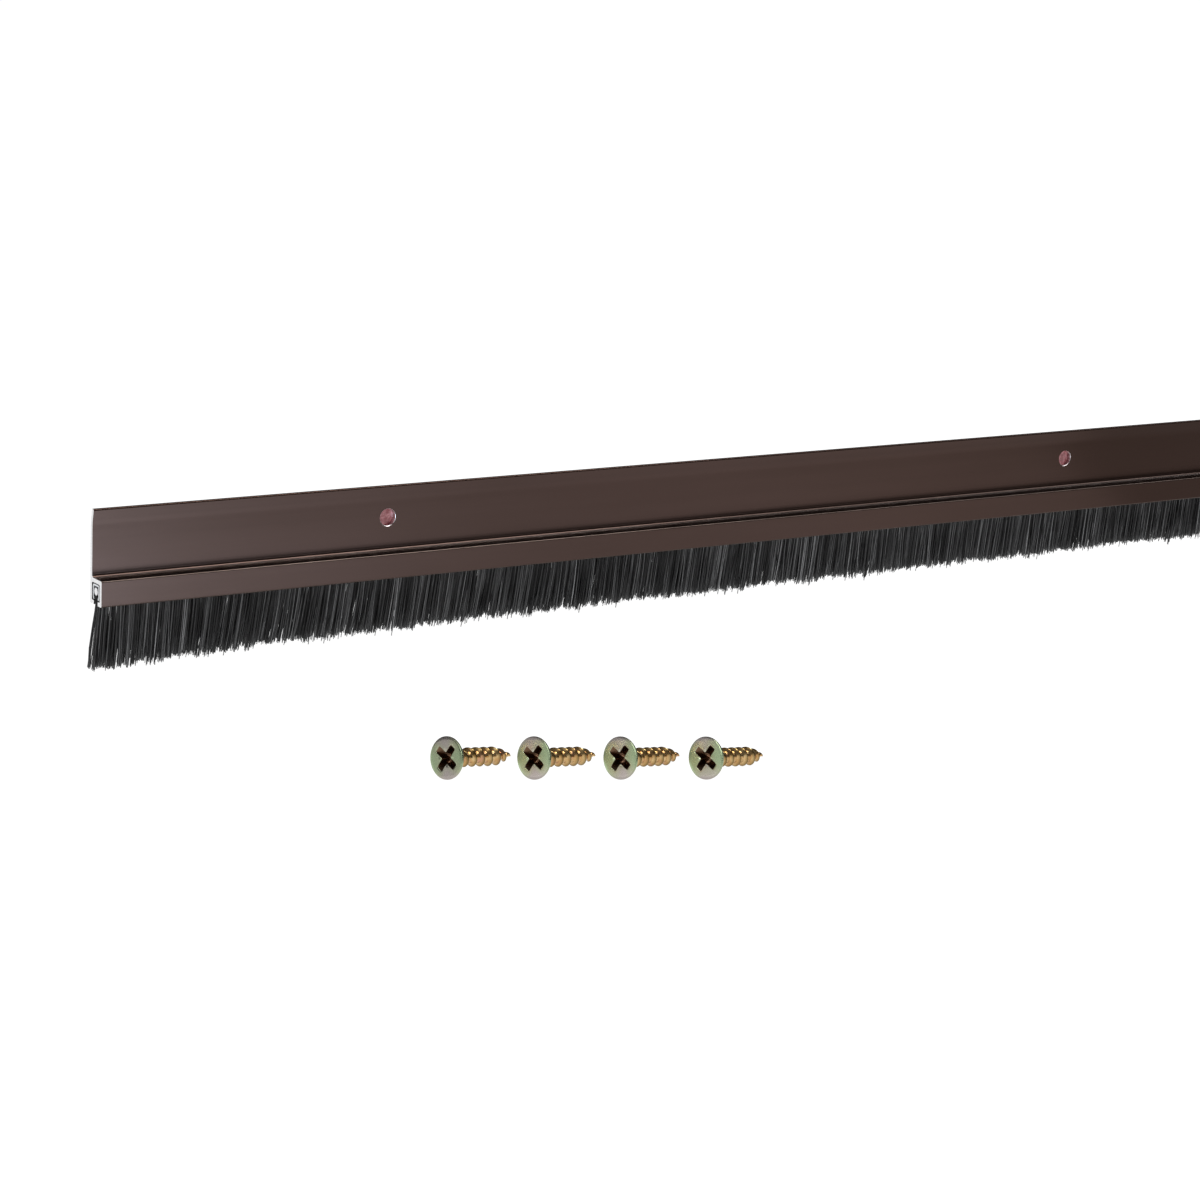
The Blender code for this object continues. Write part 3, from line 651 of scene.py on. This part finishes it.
def channelFinish(look):
    # zinc crystals, each with a tone of its own
    finish, tree, shader = startFinish("galvanisedSteel", {"Metallic": 1.0})
    place = makeNode(tree, "TexCoord").outputs["Object"]
    cells = makeNode(tree, "TexVoronoi", {"Vector": place, "Scale": look["spangle"], "Randomness": 1.0})
    crystal = makeNode(tree, "SeparateColor", {"Color": cells.outputs["Color"]}).outputs["Red"]
    colour = ramp(tree, crystal, (0.0, 1.0), (look["dark"], look["light"]))
    paint(tree, shader, colour, between(tree, crystal, look["smooth"], look["rough"], 0.0, 1.0))
    setBump(tree, shader, crystal, look["depth"])
    return finish


def wireFinish(look):
    # drawing lines along the wire
    finish, tree, shader = startFinish("drawnWire", {"Metallic": 1.0})
    lines = objectNoise(tree, look["lineCells"], detail=3.0, roughness=0.6)
    colour = ramp(tree, lines, look["stops"], (look["dark"], look["light"]))
    paint(tree, shader, colour, between(tree, lines, look["smooth"], look["rough"]))
    setBump(tree, shader, lines, look["depth"])
    return finish


def tapeFinish(look):
    # random patches of painted light and painted shade on the pink tape, seen through the flange's holes
    finish, tree, shader = startFinish(
        "clearTape", {"Coat Weight": look["coat"], "Coat Roughness": look["coatRough"]})
    # random patches of painted light and painted shade
    lightShadePatches = objectNoise(tree, look["patchCells"], detail=3.0, roughness=0.6)
    colour = ramp(tree, lightShadePatches, look["stops"], (look["shade"], look["pale"]))
    paint(tree, shader, colour, between(tree, lightShadePatches, look["smooth"], look["rough"]))
    setBump(tree, shader, lightShadePatches, look["depth"], look["strength"])
    return finish


def filmFinish(look):
    # streaks along the length, and wrinkles
    finish, tree, shader = startFinish(
        "redFilm", {"Coat Weight": look["coat"], "Coat Roughness": look["coatRough"]})
    streaks = objectNoise(tree, look["streakCells"], detail=3.0)
    wrinkles = objectNoise(tree, look["wrinkleCells"], detail=3.0, roughness=0.6)
    colour = ramp(tree, streaks, look["stops"], (look["deep"], look["bright"]))
    paint(tree, shader, colour, between(tree, wrinkles, look["smooth"], look["rough"]))
    setBump(tree, shader, wrinkles, look["depth"], look["strength"])
    return finish


def dress(node, finish):
    # a CAD piece keeps its shape and takes a finish
    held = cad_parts[node]
    held.data.materials.clear()
    held.data.materials.append(finish)


dress("brush_channel", channelFinish(steel))
dress("core_wire", wireFinish(wire))
dress("adhesive_tape", tapeFinish(tape))
dress("release_liner", filmFinish(film))
print("finishes set on the channel, wire, tape and liner")


# floor, lights and camera
white = (1.0, 1.0, 1.0)
studio = dict(
    floorHalf=40.0, floorGap=0.02 * mm, floorTone=0.12, floorGlow=1.0, floorRough=0.9, floorGloss=0.1,
    world=(0.95, 0.97, 1.0), worldStrength=0.16)
cards = dict(
    count=28, first=-0.512, step=0.016, near=(-0.050, -0.036), far=(-0.090, -0.008), power=0.0029, rest=1.28,
    last=0.55, lastPower=6, drop=8.1, fade=0.77, tint=(0.53, 0.77, 1.0), lastTint=(0.83, 0.92, 1.0),
    headGap=0.008, headSize=0.014, headPower=0.00027)
lights = dict(
    aboveLeft=dict(
        place=(-0.06, -0.15, 0.70), aim=(-0.06, -0.1499, 0.0), width=0.5, height=0.2, power=5.6, tint=white),
    aboveRight=dict(
        place=(0.47, -0.15, 0.70), aim=(0.47, -0.1499, 0.0), width=0.54, height=0.2, power=2.4, tint=white),
    left=dict(
        place=(-1.6, -0.30, 0.50), aim=(-0.50, 0.0, 0.0), width=0.6, height=0.6, power=5.0, tint=white))
camera = dict(
    place=(-0.851379, -0.758538, 0.182228), forward=(0.5545816, 0.8005342, -0.2271217),
    down=(-0.0907462, -0.2131301, -0.9728004), lens=90.696, sensor=36.0, nearest=0.01, farthest=200.0)


def buildFloor(size):
    # one square, a hair under the lowest point of the part
    half = size["floorHalf"]
    corner = np.array(((-half, -half), (half, -half), (half, half), (-half, half)))
    points = np.column_stack((corner, np.full(4, floorLevel - size["floorGap"])))
    mesh = fillMesh("studio_floor", points, [np.arange(4)[None]])
    finish = startFinish("paleFloor", {
        "Base Color": (size["floorTone"],) * 3 + (1.0,), "Roughness": size["floorRough"],
        "Specular IOR Level": size["floorGloss"], "Emission Color": (*white, 1.0),
        "Emission Strength": size["floorGlow"]})[0]
    mesh.materials.append(finish)
    floor = bpy.data.objects.new("studio_floor", mesh)
    bpy.context.scene.collection.objects.link(floor)


def cardLights(size):
    # a row of small leaning cards before the bristles, for the sheen on the metal: their strength falls off
    # along the row and ends near the floor's own
    row = {}
    near, far = Vector(size["near"]), Vector(size["far"])
    middle, lean = (near + far) / 2, far - near
    for number in range(size["count"]):
        along = size["first"] + (number + 0.5) * size["step"]
        share = (number + 0.5) / size["count"]
        level = size["rest"] + (size["last"] - size["rest"]) * share ** size["lastPower"]
        level = level + size["drop"] * size["fade"] ** number
        tint = Vector(size["tint"]).lerp(Vector(size["lastTint"]), share)
        row["card%d" % (number + 1)] = dict(
            place=(along, *middle), aim=(along, middle.x + lean.y, middle.y - lean.x), width=size["step"],
            height=lean.length, power=size["power"] * level, tint=tuple(tint), only=carrierPiece)
    # a small card where a screw head mirrors it to the camera, for each head that has another screw beside
    # it there
    for number, (piece, place, pointing) in enumerate(screwHeads[1:], start=2):
        mirrored = (place - Vector(camera["place"])).normalized().reflect(pointing)
        row["headCard%d" % number] = dict(
            place=tuple(place + mirrored * size["headGap"]), aim=tuple(place), width=size["headSize"],
            height=size["headSize"], power=size["headPower"], tint=white, only=piece)
    return row


def buildLights(studioSize, lamps):
    # rectangles turned to their aim; one with "only" lights that piece alone
    world = bpy.data.worlds.new("studio")
    world.use_nodes = True
    sky = world.node_tree.nodes["Background"]
    sky.inputs["Color"].default_value = (*studioSize["world"], 1.0)
    sky.inputs["Strength"].default_value = studioSize["worldStrength"]
    bpy.context.scene.world = world
    for name, lamp in lamps.items():
        light = bpy.data.lights.new(name, "AREA")
        light.shape = "RECTANGLE"
        light.size = lamp["width"]
        light.size_y = lamp["height"]
        light.energy = lamp["power"]
        light.color = lamp["tint"]
        holder = bpy.data.objects.new(name, light)
        toward = Vector(lamp["aim"]) - Vector(lamp["place"])
        turned = toward.to_track_quat("-Z", "Y").to_matrix().to_4x4()
        holder.matrix_world = Matrix.Translation(lamp["place"]) @ turned
        holder.visible_camera = False
        if "only" in lamp:
            lit = bpy.data.collections.new(name)
            lit.objects.link(lamp["only"])
            holder.light_linking.receiver_collection = lit
        bpy.context.scene.collection.objects.link(holder)


def buildCamera(size):
    # the camera's axes are the photograph's right, up and backward directions
    forward, down = Vector(size["forward"]), Vector(size["down"])
    right = down.cross(forward)
    axes = Matrix((right, -down, -forward)).transposed().to_4x4()
    lens = bpy.data.cameras.new("photo_camera")
    lens.lens = size["lens"]
    lens.sensor_width = size["sensor"]
    lens.sensor_fit = "HORIZONTAL"
    lens.clip_start = size["nearest"]
    lens.clip_end = size["farthest"]
    holder = bpy.data.objects.new("photo_camera", lens)
    holder.matrix_world = Matrix.Translation(size["place"]) @ axes
    bpy.context.scene.collection.objects.link(holder)
    bpy.context.scene.camera = holder


buildFloor(studio)
buildLights(studio, {**lights, **cardLights(cards)})
buildCamera(camera)
bpy.context.scene.view_settings.view_transform = "Standard"
print("floor, lights and camera set")
